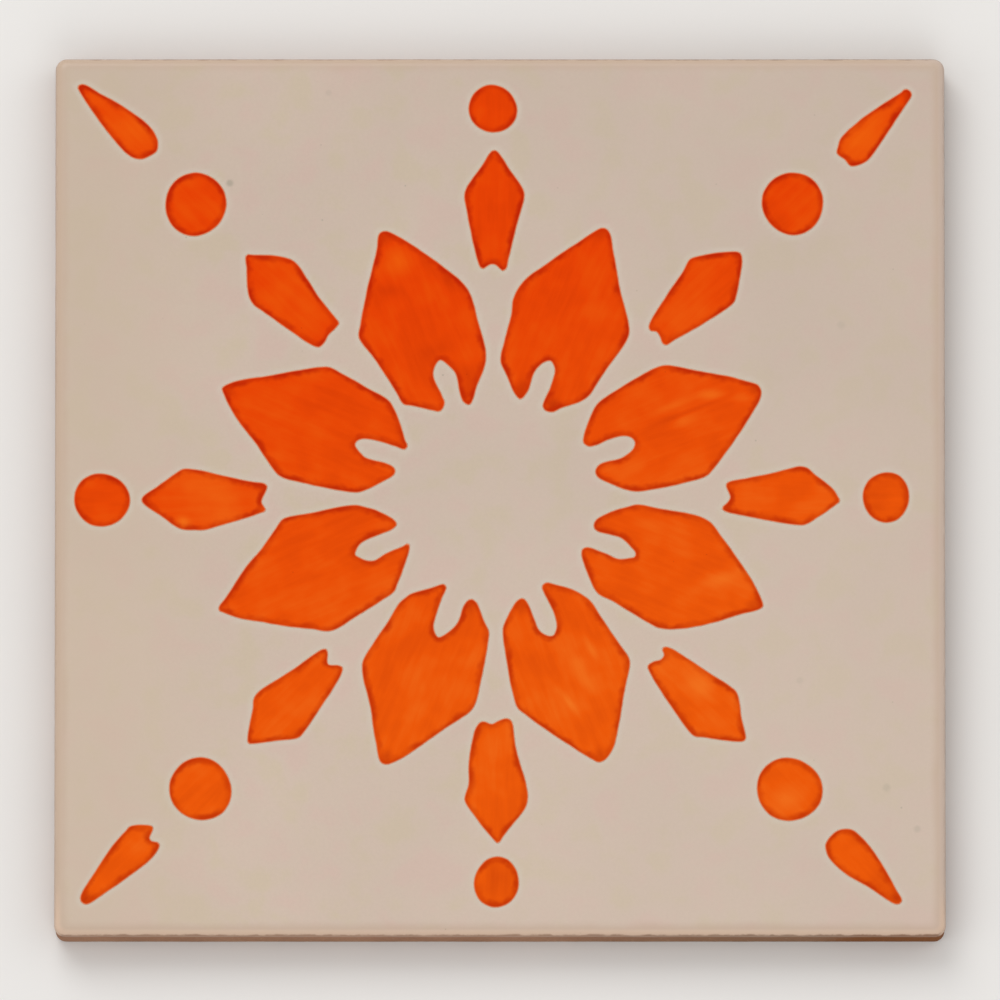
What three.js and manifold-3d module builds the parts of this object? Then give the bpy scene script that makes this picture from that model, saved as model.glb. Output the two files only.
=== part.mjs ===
// Azulejo: a square earthenware wall tile with a glazed, stencil-painted face.
// Millimetres, +Z up. The tile lies on its back with the glazed face up. The origin
// is the middle of the back, and +Y points to the top edge of the painted pattern.
// It was pressed and fired in one piece, so it is one solid: the glaze and the paint
// are fused into its face.

import * as THREE from "three";
import { mergeVertices } from "three/addons/utils/BufferGeometryUtils.js";
import Module from "manifold-3d";

// Driving dimensions of the slab
const TILE_SIDE = 140;
const TILE_THICKNESS = 8;
const EDGE_CORNER_RADIUS = 1.8;
const FACE_CORNER_RADIUS = 0.9;
const FACE_ARRIS_RADIUS = 1.4;
const BACK_CORNER_RADIUS = 1.2;
const BACK_CHAMFER = 0.7;

// Driving dimensions of the mortar keys pressed into the back
const KEYS_PER_SIDE = 8;
const KEY_RIB = 3.5;
const KEY_DEPTH = 1;
const KEY_DRAFT = THREE.MathUtils.degToRad(25);
const BACK_RIM = 8;

// Fineness of the faceted curves
const CORNER_STEPS = 5;
const ARRIS_STEPS = 4;

// How far a cutter stands out past the face that it cuts
const CUT_OVERRUN = 0.5;

const wasm = await Module();
wasm.setup();

// A closed geometry as a solid that can be cut.
function solidOf(geometry) {
  const bare = geometry.clone();
  bare.deleteAttribute("normal");
  bare.deleteAttribute("uv");
  const merged = mergeVertices(bare, 1e-4);
  return new wasm.Manifold(
    new wasm.Mesh({
      numProp: 3,
      vertProperties: new Float32Array(merged.attributes.position.array),
      triVerts: new Uint32Array(merged.index.array),
    }),
  );
}

// A solid as a geometry that a mesh can hold.
function geometryOf(solid) {
  const mesh = solid.getMesh();
  const geometry = new THREE.BufferGeometry();
  geometry.setAttribute(
    "position",
    new THREE.BufferAttribute(mesh.vertProperties, mesh.numProp),
  );
  geometry.setIndex(new THREE.BufferAttribute(mesh.triVerts, 1));
  geometry.computeVertexNormals();
  return geometry;
}

// One level of the slab: a square drawn in from the full side by inset, with round
// corners, counterclockwise seen from above.
function slabLevel(inset, cornerRadius, z) {
  const straight = TILE_SIDE / 2 - inset - cornerRadius;
  const points = [];
  for (let corner = 0; corner < 4; corner += 1) {
    const turn = (corner * Math.PI) / 2;
    const centre = new THREE.Vector2(straight, straight).rotateAround(
      new THREE.Vector2(),
      turn,
    );
    for (let step = 0; step <= CORNER_STEPS; step += 1) {
      const angle = turn + (step / CORNER_STEPS) * (Math.PI / 2);
      points.push([
        centre.x + cornerRadius * Math.cos(angle),
        centre.y + cornerRadius * Math.sin(angle),
        z,
      ]);
    }
  }
  return points;
}

// The slab's levels from the back up: the back chamfer, the straight side, and the
// quarter round by which the glazed face rolls over into the side.
function slabLevels() {
  const levels = [
    slabLevel(BACK_CHAMFER, BACK_CORNER_RADIUS, 0),
    slabLevel(0, EDGE_CORNER_RADIUS, BACK_CHAMFER),
  ];
  for (let step = 0; step <= ARRIS_STEPS; step += 1) {
    const angle = (step / ARRIS_STEPS) * (Math.PI / 2);
    const inset = FACE_ARRIS_RADIUS * (1 - Math.cos(angle));
    const rise = FACE_ARRIS_RADIUS * Math.sin(angle);
    const cornerRadius = THREE.MathUtils.lerp(
      EDGE_CORNER_RADIUS,
      FACE_CORNER_RADIUS,
      inset / FACE_ARRIS_RADIUS,
    );
    levels.push(
      slabLevel(inset, cornerRadius, TILE_THICKNESS - FACE_ARRIS_RADIUS + rise),
    );
  }
  return levels;
}

// A closed body through a stack of levels of equally many points, capped flat at
// both ends by a fan from its middle.
function loft(levels) {
  const count = levels[0].length;
  const positions = levels.flat(2);
  const triangles = [];
  for (let level = 0; level + 1 < levels.length; level += 1) {
    for (let i = 0; i < count; i += 1) {
      const next = (i + 1) % count;
      const lower = level * count;
      const upper = lower + count;
      triangles.push(lower + i, lower + next, upper + next);
      triangles.push(lower + i, upper + next, upper + i);
    }
  }
  const bottomMiddle = levels.length * count;
  const topMiddle = bottomMiddle + 1;
  const top = (levels.length - 1) * count;
  positions.push(0, 0, levels[0][0][2]);
  positions.push(0, 0, levels[levels.length - 1][0][2]);
  for (let i = 0; i < count; i += 1) {
    const next = (i + 1) % count;
    triangles.push(bottomMiddle, next, i);
    triangles.push(topMiddle, top + i, top + next);
  }
  const geometry = new THREE.BufferGeometry();
  geometry.setAttribute(
    "position",
    new THREE.Float32BufferAttribute(positions, 3),
  );
  geometry.setIndex(triangles);
  return geometry;
}

// The cutter of one mortar key: a shallow square pocket that narrows inwards, so that
// the pressed tile leaves its die. It overruns the back to cut it cleanly.
function keyCutter(mouthSide) {
  const taper = Math.tan(KEY_DRAFT);
  const floorSide = mouthSide - 2 * KEY_DEPTH * taper;
  const outerSide = mouthSide + 2 * CUT_OVERRUN * taper;
  const cutter = new THREE.CylinderGeometry(
    floorSide * Math.SQRT1_2,
    outerSide * Math.SQRT1_2,
    KEY_DEPTH + CUT_OVERRUN,
    4,
  );
  cutter.rotateX(Math.PI / 2);
  cutter.rotateZ(Math.PI / 4);
  cutter.translate(0, 0, (KEY_DEPTH - CUT_OVERRUN) / 2);
  return cutter;
}

// The back with its square grid of mortar keys, which leaves a plain rim all round.
function withMortarKeys(slab) {
  const field = TILE_SIDE - 2 * BACK_RIM;
  const mouthSide = (field - (KEYS_PER_SIDE - 1) * KEY_RIB) / KEYS_PER_SIDE;
  const pitch = mouthSide + KEY_RIB;
  const first = (mouthSide - field) / 2;
  const key = solidOf(keyCutter(mouthSide));
  const keys = [];
  for (let column = 0; column < KEYS_PER_SIDE; column += 1) {
    for (let row = 0; row < KEYS_PER_SIDE; row += 1) {
      keys.push(key.translate([first + column * pitch, first + row * pitch, 0]));
    }
  }
  return slab.subtract(wasm.Manifold.union(keys));
}

function makeTile() {
  const solid = withMortarKeys(solidOf(loft(slabLevels())));
  const glazedEarthenware = new THREE.MeshStandardMaterial({
    color: 0xcbb8a8,
    roughness: 0.25,
    metalness: 0,
    flatShading: true,
  });
  const tile = new THREE.Mesh(geometryOf(solid), glazedEarthenware);
  tile.name = "tile";
  return tile;
}

const azulejo = new THREE.Group();
azulejo.name = "azulejo";
azulejo.add(makeTile());

export default azulejo;
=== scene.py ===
import math

import bmesh
import bpy
import numpy as np
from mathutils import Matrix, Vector, noise
from mathutils.geometry import delaunay_2d_cdt


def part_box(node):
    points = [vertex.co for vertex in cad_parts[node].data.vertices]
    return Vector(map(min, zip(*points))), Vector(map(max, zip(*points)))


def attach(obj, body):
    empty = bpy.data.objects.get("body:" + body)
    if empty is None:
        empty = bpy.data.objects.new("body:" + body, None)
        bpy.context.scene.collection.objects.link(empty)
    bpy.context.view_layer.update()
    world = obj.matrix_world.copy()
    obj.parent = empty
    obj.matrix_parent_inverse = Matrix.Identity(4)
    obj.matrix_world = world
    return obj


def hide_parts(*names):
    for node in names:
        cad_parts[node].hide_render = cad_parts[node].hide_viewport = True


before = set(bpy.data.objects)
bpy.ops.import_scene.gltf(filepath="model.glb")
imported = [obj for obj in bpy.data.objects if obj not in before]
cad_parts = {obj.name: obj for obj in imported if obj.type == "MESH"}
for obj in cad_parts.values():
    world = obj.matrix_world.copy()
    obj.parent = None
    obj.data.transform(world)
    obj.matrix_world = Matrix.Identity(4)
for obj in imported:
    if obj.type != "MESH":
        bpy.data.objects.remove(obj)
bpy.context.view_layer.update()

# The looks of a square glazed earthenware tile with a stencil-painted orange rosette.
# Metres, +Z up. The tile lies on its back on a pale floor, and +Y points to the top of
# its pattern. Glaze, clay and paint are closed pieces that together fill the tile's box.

TILE_LOW, TILE_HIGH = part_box("tile")
TILE_SIDE = TILE_HIGH[0] - TILE_LOW[0]
TILE_TOP = TILE_HIGH[2]
MM = 0.001

# The photograph's picture of the tile: where its face lies, in pixels
PHOTO_FACE_CENTRE = (744.7, 738.1)
PHOTO_FACE_SIDE = 509.3
PHOTO_ROSETTE_CENTRE = (741.0, 738.5)
PIXEL = TILE_SIDE / PHOTO_FACE_SIDE

# Mortar keys of the back, as the tile was pressed
KEYS_PER_SIDE = 8
KEY_RIB = 3.5 * MM
KEY_DEPTH = 1.0 * MM
KEY_DRAFT = math.radians(25)
KEY_WALL = KEY_DEPTH * math.tan(KEY_DRAFT)
KEY_SOFTENING = 0.25 * MM
KEY_FLOOR_ROUGHNESS = 0.05 * MM
BACK_RIM = 8.0 * MM
BACK_CHAMFER = 0.7 * MM
BACK_ROUGHNESS = 0.03 * MM
BACK_GRID_INSET = BACK_CHAMFER + 0.5 * MM

# Grid lines of the back: in widths of a key's wall, and in shares of a key and of the rim
KEY_WALL_STEPS = (-1.6, -0.9, -0.35, 0.25, 0.8, 1.35, 2.1)
KEY_FLOOR_SHARES = (0.2, 0.35, 0.5, 0.65, 0.8)
BACK_RIM_SHARES = (0.3, 0.5, 0.66, 0.76, 0.80, 0.84, 0.88, 0.92, 0.96)
SMALLEST_GRID_STEP = 0.02 * MM

# Clay body under the glaze
CLAY_SIDE_INSET = 0.16 * MM
CLAY_SIDE_ROUGHNESS = 0.03 * MM
CLAY_EDGE_WAVE = 0.05 * MM
CLAY_TOP = TILE_TOP - 0.38 * MM
CLAY_CORNER_RADIUS = 1.7 * MM
CLAY_SIDE_LEVELS_MM = (0.8, 1.4, 2.2, 3.1, 4.0, 4.9, 5.7, 6.3)

# Glaze: a skin over the face that rolls over the arris and ends a little way down the sides
GLAZE_TOP = TILE_TOP - 0.09 * MM
GLAZE_SWELL = 0.022 * MM
GLAZE_GRID_INSET = 3.0 * MM
GLAZE_MIDDLE_SHARE = 0.93
GLAZE_MIDDLE_LINES = 201
GLAZE_BORDER_LINES = 14
ARRIS_RADIUS = 1.4 * MM
ARRIS_FOOT = GLAZE_TOP - ARRIS_RADIUS
ARRIS_STEPS = 9
FACE_CORNER_RADIUS = 0.9 * MM
SIDE_CORNER_RADIUS = 1.75 * MM
GLAZE_SIDE_INSET = 0.05 * MM
GLAZE_SIDE_WAVE = 0.06 * MM
GLAZE_INNER_INSET = 0.30 * MM
GLAZE_INNER_RISE = 0.03 * MM
GLAZE_END = 6.15 * MM
GLAZE_END_WAVE = 0.16 * MM
GLAZE_RIM_STEP = 0.6 * MM
GLAZE_RIM_DIP = 0.004 * MM
ARRIS_DIP = 0.006 * MM
GLAZE_SIDE_SHARES = (0.35, 0.7)

# Rings round the glaze's beaded end: share of the side's inset, more inset, height over the end
GLAZE_BEAD_RINGS = (
    (0.35, 0, 0.10 * MM),
    (0.35, 0.02 * MM, 0.02 * MM),
    (1, 0.09 * MM, -0.04 * MM),
)

# Runs of glaze on the sides: share of the way round from the lower left corner, half width, length
GLAZE_RUNS = (
    (0.292, 3.2 * MM, 1.3 * MM),
    (0.418, 2.1 * MM, 0.7 * MM),
    (0.573, 4.0 * MM, 1.7 * MM),
    (0.688, 2.4 * MM, 0.9 * MM),
    (0.811, 3.4 * MM, 1.5 * MM),
    (0.934, 2.0 * MM, 0.8 * MM),
)

# Rings round the clay's back, up its softened edge: inset, height, and share of the edge's wave
CLAY_EDGE_RINGS = (
    (BACK_CHAMFER + 0.15 * MM, 0.03 * MM, 0.4),
    (BACK_CHAMFER * 0.62, 0.16 * MM, 0.5),
    (BACK_CHAMFER * 0.35, 0.42 * MM, 1.0),
)

# Rings where clay and glaze meet out of sight: inset, height and corner radius
CLAY_TOP_RINGS = (
    (0.30 * MM, 6.8 * MM, CLAY_CORNER_RADIUS),
    (0.80 * MM, 7.25 * MM, CLAY_CORNER_RADIUS),
    (1.8 * MM, CLAY_TOP - 0.06 * MM, FACE_CORNER_RADIUS),
    (3.0 * MM, CLAY_TOP, FACE_CORNER_RADIUS),
)
GLAZE_INNER_RINGS = (
    (GLAZE_INNER_INSET, ARRIS_FOOT, SIDE_CORNER_RADIUS),
    (0.75 * MM, 7.0 * MM, SIDE_CORNER_RADIUS),
    (1.6 * MM, 7.4 * MM, FACE_CORNER_RADIUS),
    (GLAZE_GRID_INSET, 7.45 * MM, FACE_CORNER_RADIUS),
)

# Noise in the shapes: wavelength, seed, and for some the height
SWELL_NOISE = (38 * MM, 3.7, 0.7)
RIPPLE_NOISE = (11 * MM, 8.1, 0.35)
GLAZE_END_NOISE = (5 * MM, 21.3)
GLAZE_END_DETAIL = (1.7 * MM, 4.4, 0.5)
GLAZE_SIDE_NOISE = (23 * MM, 11.9)
BACK_NOISE = (4 * MM, 5.2)
KEY_FLOOR_NOISE = (7 * MM, 9.6)
CLAY_EDGE_NOISE = (9 * MM, 2.2)
CLAY_SIDE_NOISE = (3.1 * MM, 30.0)
CUT_NOISE = (1.9 * MM, 14.6)
CUT_DETAIL = (0.8 * MM, 17.2, 0.5)

# Squares of the unfolded map that a piece's shown and hidden faces take: start and side
SHOWN_CHART = (0.004, 0.95)
HIDDEN_CHART = (0.96, 0.036)

# Paint: thin films that stand just proud of the glaze
PAINT_STEP = 0.24 * MM
PAINT_MESH = 0.46 * MM
PAINT_MESH_CLEARANCE = 0.6 * PAINT_STEP
PAINT_DEPTH = 0.16 * MM
PAINT_RISE = 0.018 * MM
PAINT_RIM_RISE = 0.007 * MM
PAINT_RIM = 0.7 * MM
PAINT_RIM_WIDTH = 0.3 * MM
PAINT_ROOT = 0.006 * MM
PAINT_FEATHER = 0.42 * MM
PAINT_WOBBLE = 0.05 * MM
STROKE_SHIFT = 13 * MM
CURVE_SAMPLES = 24
MERGE_LIMIT = 1e-6
FEWEST_RIM_POINTS = 12
HALO_START = 0.3 * MM
HALO_REACH = 1.0 * MM

# Outlines of the stencilled motifs, going round each, in photograph pixels.
# A smooth curve runs through the points, and close points make a tight corner.
# The points were read on the outer side of the paint's soft edge, and the paint's own
# edge lies further in: by this much on the petals, and by this much on the rest.
PETAL_SOFT_EDGE = 0.15
SOFT_EDGE = 0.6
PETALS = {
    "petal_top_left": (
        (675.5, 585.6), (679, 584.2), (690, 589.5), (700, 596), (711.3, 604.2), (726.1, 617.8),
        (732.1, 636), (736.8, 658.7), (731.5, 674.5), (727.5, 685.3), (723.5, 683.5), (719, 667),
        (715.4, 663), (710.3, 659.6), (706.6, 667), (711.7, 680), (713.2, 684), (710.6, 689),
        (706.2, 688.6), (693.5, 685.7), (689.5, 685), (684.6, 677.2), (672.5, 658.3), (665.5, 649.6),
        (663.6, 645.5), (664.6, 638.5), (668.8, 617), (670.8, 608.5), (674.2, 594),
    ),
    "petal_top_right": (
        (803.5, 582.4), (807, 584.3), (810.2, 599), (814, 620), (818.4, 637.5), (818.7, 643.5),
        (817, 648.5), (804.2, 667), (795, 680.8), (789.5, 684), (780, 687.3), (774.9, 689.6), (770.9, 689),
        (769, 686), (773, 676), (776, 665.5), (775.2, 662.2), (773.6, 660), (770.6, 660.6), (765.1, 665.4),
        (760.7, 677.5), (756.4, 682.3), (753.4, 679.6), (748.5, 668.5), (745, 660.7), (745, 657),
        (748.5, 642.4), (751.2, 632), (752.2, 623.5), (757.5, 614), (773, 602), (790.2, 590.2),
    ),
    "petal_right_top": (
        (888, 672), (892.4, 673.8), (894.2, 677.2), (893.8, 681.6), (886, 695.2), (875, 711.8),
        (866.4, 723.2), (862.6, 726.8), (849, 731), (832.9, 734.4), (823.4, 735.7), (817, 734.8),
        (805, 729.8), (800.4, 727.1), (799.2, 723.6), (801.6, 719.7), (814.3, 715.8), (820.8, 710.6),
        (821.7, 707.2), (820.4, 705), (816.6, 703.5), (807.4, 705.4), (800.2, 708.7), (795.4, 709.6),
        (792.4, 707.4), (792.4, 703.8), (796, 692.8), (800.4, 684.6), (809.4, 677.8), (828.4, 666.3),
        (833, 663.8), (839.4, 662.1), (859.4, 665.7), (875.4, 668.6), (881.4, 670.1),
    ),
    "petal_right_bottom": (
        (894.6, 798.8), (895.1, 802.4), (892.6, 804.2), (882.6, 806.8), (866.8, 811.7), (850.5, 815),
        (836.5, 815), (829, 811.6), (810, 799.8), (800.5, 794.5), (795.3, 784.8), (791.1, 772.2),
        (791.6, 769.2), (793.8, 767.8), (804, 770.9), (812.7, 774.6), (818.6, 774), (821.6, 773.2),
        (822, 771), (819.8, 768.2), (814.2, 762.8), (807.4, 760.6), (801.6, 759.2), (798.8, 757.4),
        (798.2, 755), (799.4, 752), (804.4, 748.8), (817, 744.4), (823.4, 743), (837, 745.5),
        (854.6, 748.6), (860.7, 750.7), (865.3, 753.4), (871.6, 761.6), (880.4, 774), (888.3, 786),
    ),
    "petal_bottom_right": (
        (757.3, 797.3), (759.8, 799), (764.4, 809.5), (766.3, 814.4), (768.8, 817.3), (773, 819.2),
        (775.2, 818.8), (776.2, 817), (777, 813), (775, 805), (769.8, 794.6), (768.6, 790.8), (771, 788.3),
        (776.8, 789.4), (787.4, 792.8), (796, 798.4), (802.8, 808.7), (811.2, 821), (818.4, 831.8),
        (819.2, 835.5), (816.6, 848), (813.8, 864.8), (810.2, 882.4), (807.8, 887.6), (804.8, 891),
        (801.2, 892.6), (797.6, 891), (785.2, 883.2), (770.8, 873.6), (758.5, 864.4), (754.6, 861),
        (751.4, 850.6), (748.8, 836.9), (746.1, 816.7), (746.9, 812.7), (751.7, 802.5), (753.9, 799.2),
    ),
    "petal_bottom_left": (
        (728.4, 797.7), (731.4, 799.8), (735.9, 810.9), (738.5, 817), (738.3, 821.3), (735.1, 840),
        (731.2, 857.3), (729.5, 861.1), (726.5, 864.4), (716.6, 870.8), (703, 880.4), (690.2, 889.4),
        (684.6, 892.2), (680, 893.8), (676.4, 892.2), (673.2, 878.5), (670.4, 860), (666.4, 844),
        (665.8, 837.6), (666.2, 834), (672.3, 823.2), (679.8, 812), (686.9, 800.4), (690.4, 797.2),
        (693.2, 795), (704.8, 791.4), (712.6, 789.2), (714, 791), (711.5, 797.7), (708, 808.2),
        (706.8, 813.8), (707.8, 817.6), (709.6, 819.8), (712.4, 818.8), (719.9, 812.3), (723.8, 801.6),
        (726, 798.8),
    ),
    "petal_left_bottom": (
        (685.9, 754.7), (684.3, 752.1), (674.7, 746.6), (668.5, 744.8), (662.3, 743.2), (650.2, 744.8),
        (636.7, 747.9), (623.9, 750.1), (620.1, 751.7), (614.6, 759.4), (607.7, 769.3), (599.3, 779.1),
        (593.5, 788.1), (587.9, 796.9), (584.1, 802), (583.9, 804.6), (586.3, 805.7), (596.7, 809.5),
        (611.1, 811.7), (621.5, 813.7), (637.5, 815.5), (642.7, 816.5), (646.9, 816.7), (651.5, 815.3),
        (663.9, 807.3), (674.9, 800.3), (684.3, 793.7), (686.1, 789.5), (690.3, 778.3), (693.1, 768.3),
        (692.4, 765.4), (689.3, 767.1), (679.9, 771.1), (672.6, 775.4), (668, 775.2), (664.1, 773.5),
        (662.1, 771.9), (664.6, 766.5), (667.4, 764.3), (677.9, 759.9), (683.1, 757.7),
    ),
    "petal_left_top": (
        (585.6, 675.6), (589.4, 673), (595, 671), (610.2, 668.6), (623, 666.2), (636.6, 663.8),
        (642, 663.1), (647, 663.3), (656.3, 668), (669, 675.4), (680.2, 681.9), (683.4, 685.9),
        (687.4, 695.1), (690.6, 705.6), (692, 709.4), (690, 711.4), (685.2, 709.8), (675.8, 706.7),
        (671, 705.6), (665.6, 705.2), (662.6, 706.6), (661.8, 708.4), (665, 713), (667.9, 715.7),
        (679, 718.8), (683.2, 720.7), (685, 723), (684.4, 725.6), (675.8, 731), (665.2, 735.9),
        (660.6, 736.2), (645.4, 733.6), (630.2, 730.4), (619.7, 727.2), (616.7, 724.9), (610.7, 716.8),
        (604.8, 707.6), (596, 696.4), (588.9, 684.6), (586.8, 679.8),
    ),
}

LOZENGES_AND_DROPS = {
    "lozenge_top": (
        (741.4, 536.8), (751.2, 548.9), (758.8, 560.9), (759.2, 564.9), (754.7, 581.9), (750.1, 600.9),
        (748.8, 606.5), (746.4, 608.1), (741.6, 604.4), (739.2, 604.4), (734.8, 606.9), (732.8, 605.7),
        (728.4, 589.8), (724.8, 571.3), (723.6, 564.1), (724.8, 559.3), (733.6, 546.5),
    ),
    "lozenge_left": (
        (539, 740.4), (548.1, 732.4), (559.6, 724), (563.6, 722), (569.2, 722), (584.4, 725.2),
        (602, 729.2), (610, 730.4), (612, 732), (611.2, 736), (609.7, 739), (608.9, 741.7), (611.2, 746.8),
        (608.4, 748.4), (595.8, 752.6), (580.4, 757.2), (574.7, 758.7), (570, 758.6), (561.2, 757.6),
        (550.8, 750.4),
    ),
    "lozenge_right": (
        (939.8, 741), (938.6, 738.2), (935.4, 733.4), (925, 725), (921, 721.4), (916.2, 720.4),
        (903.3, 723.5), (887.4, 727), (874.6, 729.8), (873.4, 731.8), (875.8, 738.6), (874.6, 741.2),
        (870.9, 745.4), (873.8, 747.8), (888.2, 751), (905, 754.2), (913, 755.4), (919.4, 755.4),
        (928.2, 750.2), (937, 743.8),
    ),
    "lozenge_bottom": (
        (748.8, 866.5), (751.8, 868.5), (754, 882.6), (760.4, 905.8), (761.2, 912.2), (759.6, 919.4),
        (751, 930.3), (746.9, 935.8), (743.6, 939.8), (740.8, 937.8), (732, 927), (724, 914.6),
        (724.4, 910.6), (726.2, 904.9), (726.3, 893), (729.8, 873.8), (732.5, 869.2), (735.2, 868.2),
        (740, 869.6), (743.4, 867.9),
    ),
    "lozenge_top_left": (
        (599, 598), (603.7, 597.5), (625.9, 600.6), (634.7, 611.5), (640.5, 620.9), (651.2, 634.7),
        (653.1, 637.8), (651.2, 640.9), (646.9, 645.4), (645, 649.2), (641.3, 652.5), (637.7, 651.7),
        (625.5, 643.7), (608.3, 631.2), (603.5, 628), (600.4, 622.5), (599, 606.3),
    ),
    "lozenge_top_right": (
        (881.3, 596), (883.7, 598.7), (880.6, 621.7), (879, 626.3), (863.4, 637.4), (844.5, 648.5),
        (839.9, 651.2), (837.3, 650.1), (835.7, 645.5), (833.8, 643.2), (830.7, 642.8), (829.2, 640.1),
        (839.9, 620.9), (849.1, 607.1), (852.2, 601), (854.5, 599.4),
    ),
    "lozenge_bottom_left": (
        (645.9, 826.6), (646.9, 830), (646.7, 833), (647, 835.3), (652, 835.7), (655.1, 837.2),
        (654.3, 841.8), (642.8, 861), (633.6, 874.8), (629.8, 878.7), (616, 880.6), (602.9, 882.4),
        (600.2, 881.7), (602.9, 861), (603.5, 855.3), (606.7, 851), (625.2, 838.8), (642.8, 826.6),
    ),
    "lozenge_bottom_right": (
        (838.4, 825), (843, 826.1), (863.7, 839.5), (876.7, 848), (880.6, 851.8), (883.3, 867.1),
        (885.6, 879.4), (882.9, 881), (861.4, 878.7), (856, 877.9), (853, 875.6), (840.1, 857.6),
        (829.6, 840.3), (828.4, 836.5), (832, 833.6), (836.3, 832.4), (837.8, 830.2), (836.8, 826.8),
    ),
    "drop_top_left": (
        (502.2, 500.3), (504.9, 498.4), (508.4, 499.2), (515, 503.3), (529.6, 511.7), (544.6, 523.4),
        (549, 531.3), (548.8, 537.8), (546, 540.4), (539.4, 543.2), (532.2, 541.1), (519.8, 527.6),
        (511, 515.5), (504, 504.7),
    ),
    "drop_top_right": (
        (976.6, 501.3), (980, 502.6), (981, 505.4), (975, 515.4), (964, 532.4), (956.2, 543.2),
        (950.7, 546.5), (945.2, 547.2), (941.8, 543.4), (937, 539.4), (937.9, 534.2), (939.6, 529.8),
        (949.8, 520), (961.5, 511.5), (973.9, 503.4),
    ),
    "drop_bottom_left": (
        (508.7, 975.1), (505.4, 973.7), (504.5, 970.4), (512.9, 955.5), (521.9, 941.7), (530.1, 932.1),
        (533.3, 928.8), (545.9, 928.6), (547.2, 930.6), (545, 936.2), (545.9, 937.5), (550.2, 938.7),
        (550.7, 941.6), (546, 948.5), (533.9, 958.3), (521.3, 967.3),
    ),
    "drop_bottom_right": (
        (930, 941), (931, 937.7), (936.8, 931.7), (945.2, 930.7), (952.2, 935.9), (961.5, 948),
        (971.3, 965.3), (974.8, 971.8), (973.7, 974.6), (970.5, 975), (955, 965.3), (941.5, 957.3),
        (931.7, 947.1),
    ),
}

# The round dots: centre, and half their width and height, in photograph pixels
DOTS = {
    "dot_top": (740.6, 513.3, 13.9, 13.8),
    "dot_left": (517, 740.5, 15.6, 15.7),
    "dot_right": (965.5, 738.9, 13, 14.9),
    "dot_bottom": (742.7, 961.8, 12.7, 14.7),
    "dot_top_left": (570.4, 568.8, 17.7, 18.1),
    "dot_top_right": (912.3, 568.4, 17.9, 17.8),
    "dot_bottom_left": (573.6, 907.9, 17.8, 18),
    "dot_bottom_right": (910, 908.1, 18.5, 18.5),
}
DOT_POINTS = 16

# Waves round a dot's rim: how many, how far the dot's number turns them, height as a share
DOT_WAVES = ((2, 1, 0.022), (3, 2, 0.014))

# Places where the paint lies thinner, or thicker where the strength is negative:
# centre, half length, half width in photograph pixels, turn in degrees, strength
PAINT_PATCHES = (
    (686.4, 603.5, 10, 8, 20, 0.55),
    (711, 609, 16, 5, -36, -0.40),
    (681, 619, 8, 3, 0, -0.18),
    (706, 655, 7, 6, 0, -0.20),
    (727, 668, 11, 5, 65, -0.20),
    (866, 679.5, 7.5, 2.8, 8, 0.85),
    (843, 686.4, 13, 1.9, 22, 0.45),
    (853, 689, 19, 1.6, 22, -0.35),
    (849, 695.5, 6, 3, 20, 0.35),
    (883, 681, 6, 2.5, 10, 0.45),
    (808, 722, 6, 4, -20, 0.30),
    (789.7, 836.6, 9, 6, -40, 0.45),
    (796.6, 826.4, 8, 2, -60, 0.45),
    (783.6, 857, 9, 1.8, -52, 0.50),
    (793.6, 846, 7, 4, -50, 0.40),
    (830, 755, 12, 4, -8, 0.45),
    (870, 786.5, 12, 4, 18, 0.45),
    (860, 850, 9, 6, -35, 0.45),
    (907, 913, 8, 7, 0, 0.35),
    (743, 962, 10, 12, 0, -0.50),
    (965.8, 739, 13, 15, 0, -0.20),
    (953, 952, 26, 12, -45, -0.22),
    (533, 527, 24, 12, -40, 0.55),
    (954, 528, 24, 12, 48, 0.62),
    (622, 620, 24, 15, -45, 0.28),
    (858, 622, 24, 15, 45, 0.16),
    (576, 740, 30, 16, 0, 0.30),
    (678.5, 588, 5, 3.5, -60, -0.60),
    (803, 586.5, 5, 4, 60, -0.45),
    (891, 676, 6, 4, -30, -0.45),
    (889.5, 800.5, 5, 3.5, 30, -0.60),
    (801.5, 888, 5, 4, 80, -0.60),
    (680, 889, 5, 4, 75, -0.60),
    (590, 678, 5, 3.5, -40, -0.45),
    (690, 706, 5, 3, -60, -0.50),
    (727, 679, 6, 3, 80, -0.35),
    (756.5, 677, 6, 3, 80, -0.60),
    (775, 685, 4, 4, 0, -0.60),
    (757, 802, 6, 3, 80, -0.55),
    (728, 802, 5, 3, 80, -0.60),
    (507.5, 971.5, 3.5, 3, 40, -0.90),
    (971.5, 971, 3.5, 3, -40, -0.90),
    (505.8, 501.5, 4, 3, -40, -0.60),
    (978.5, 506, 4, 3, 40, -0.60),
    (564, 753.5, 4, 3, -50, 0.80),
)

# Stray specks in the glaze, in photograph pixels: place, radius in millimetres, strength
SPECKS = (
    (590, 556.5, 0.80, 0.50),
    (565, 588, 0.20, 0.50),
    (643, 578, 0.22, 0.45),
    (646.5, 504, 0.75, 0.16),
    (690.5, 558, 0.20, 0.45),
    (940, 639, 0.95, 0.14),
    (965.5, 907, 0.90, 0.20),
    (983, 931, 0.80, 0.22),
    (974, 918.7, 0.22, 0.40),
    (916, 845, 0.80, 0.14),
    (854, 793, 0.22, 0.50),
    (712, 668, 0.22, 0.50),
    (891, 706, 0.20, 0.45),
)

# Camera, lights and floor
CAMERA_ELEVATION = math.radians(80.5)
CAMERA_LENS_MM = 1500
CAMERA_SENSOR_MM = 36
CAMERA_CLIP_REACH = 10
TILE_SHARE_OF_PICTURE = 0.89
FLOOR_HALF_SIDE = 3.0
LIGHT_DISTANCE = 2.2
LIGHT_SIZE = 1.4
SURROUND_STRENGTH = 0.57
SURROUND_COLOUR = (1.0, 0.99, 0.975)

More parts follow.
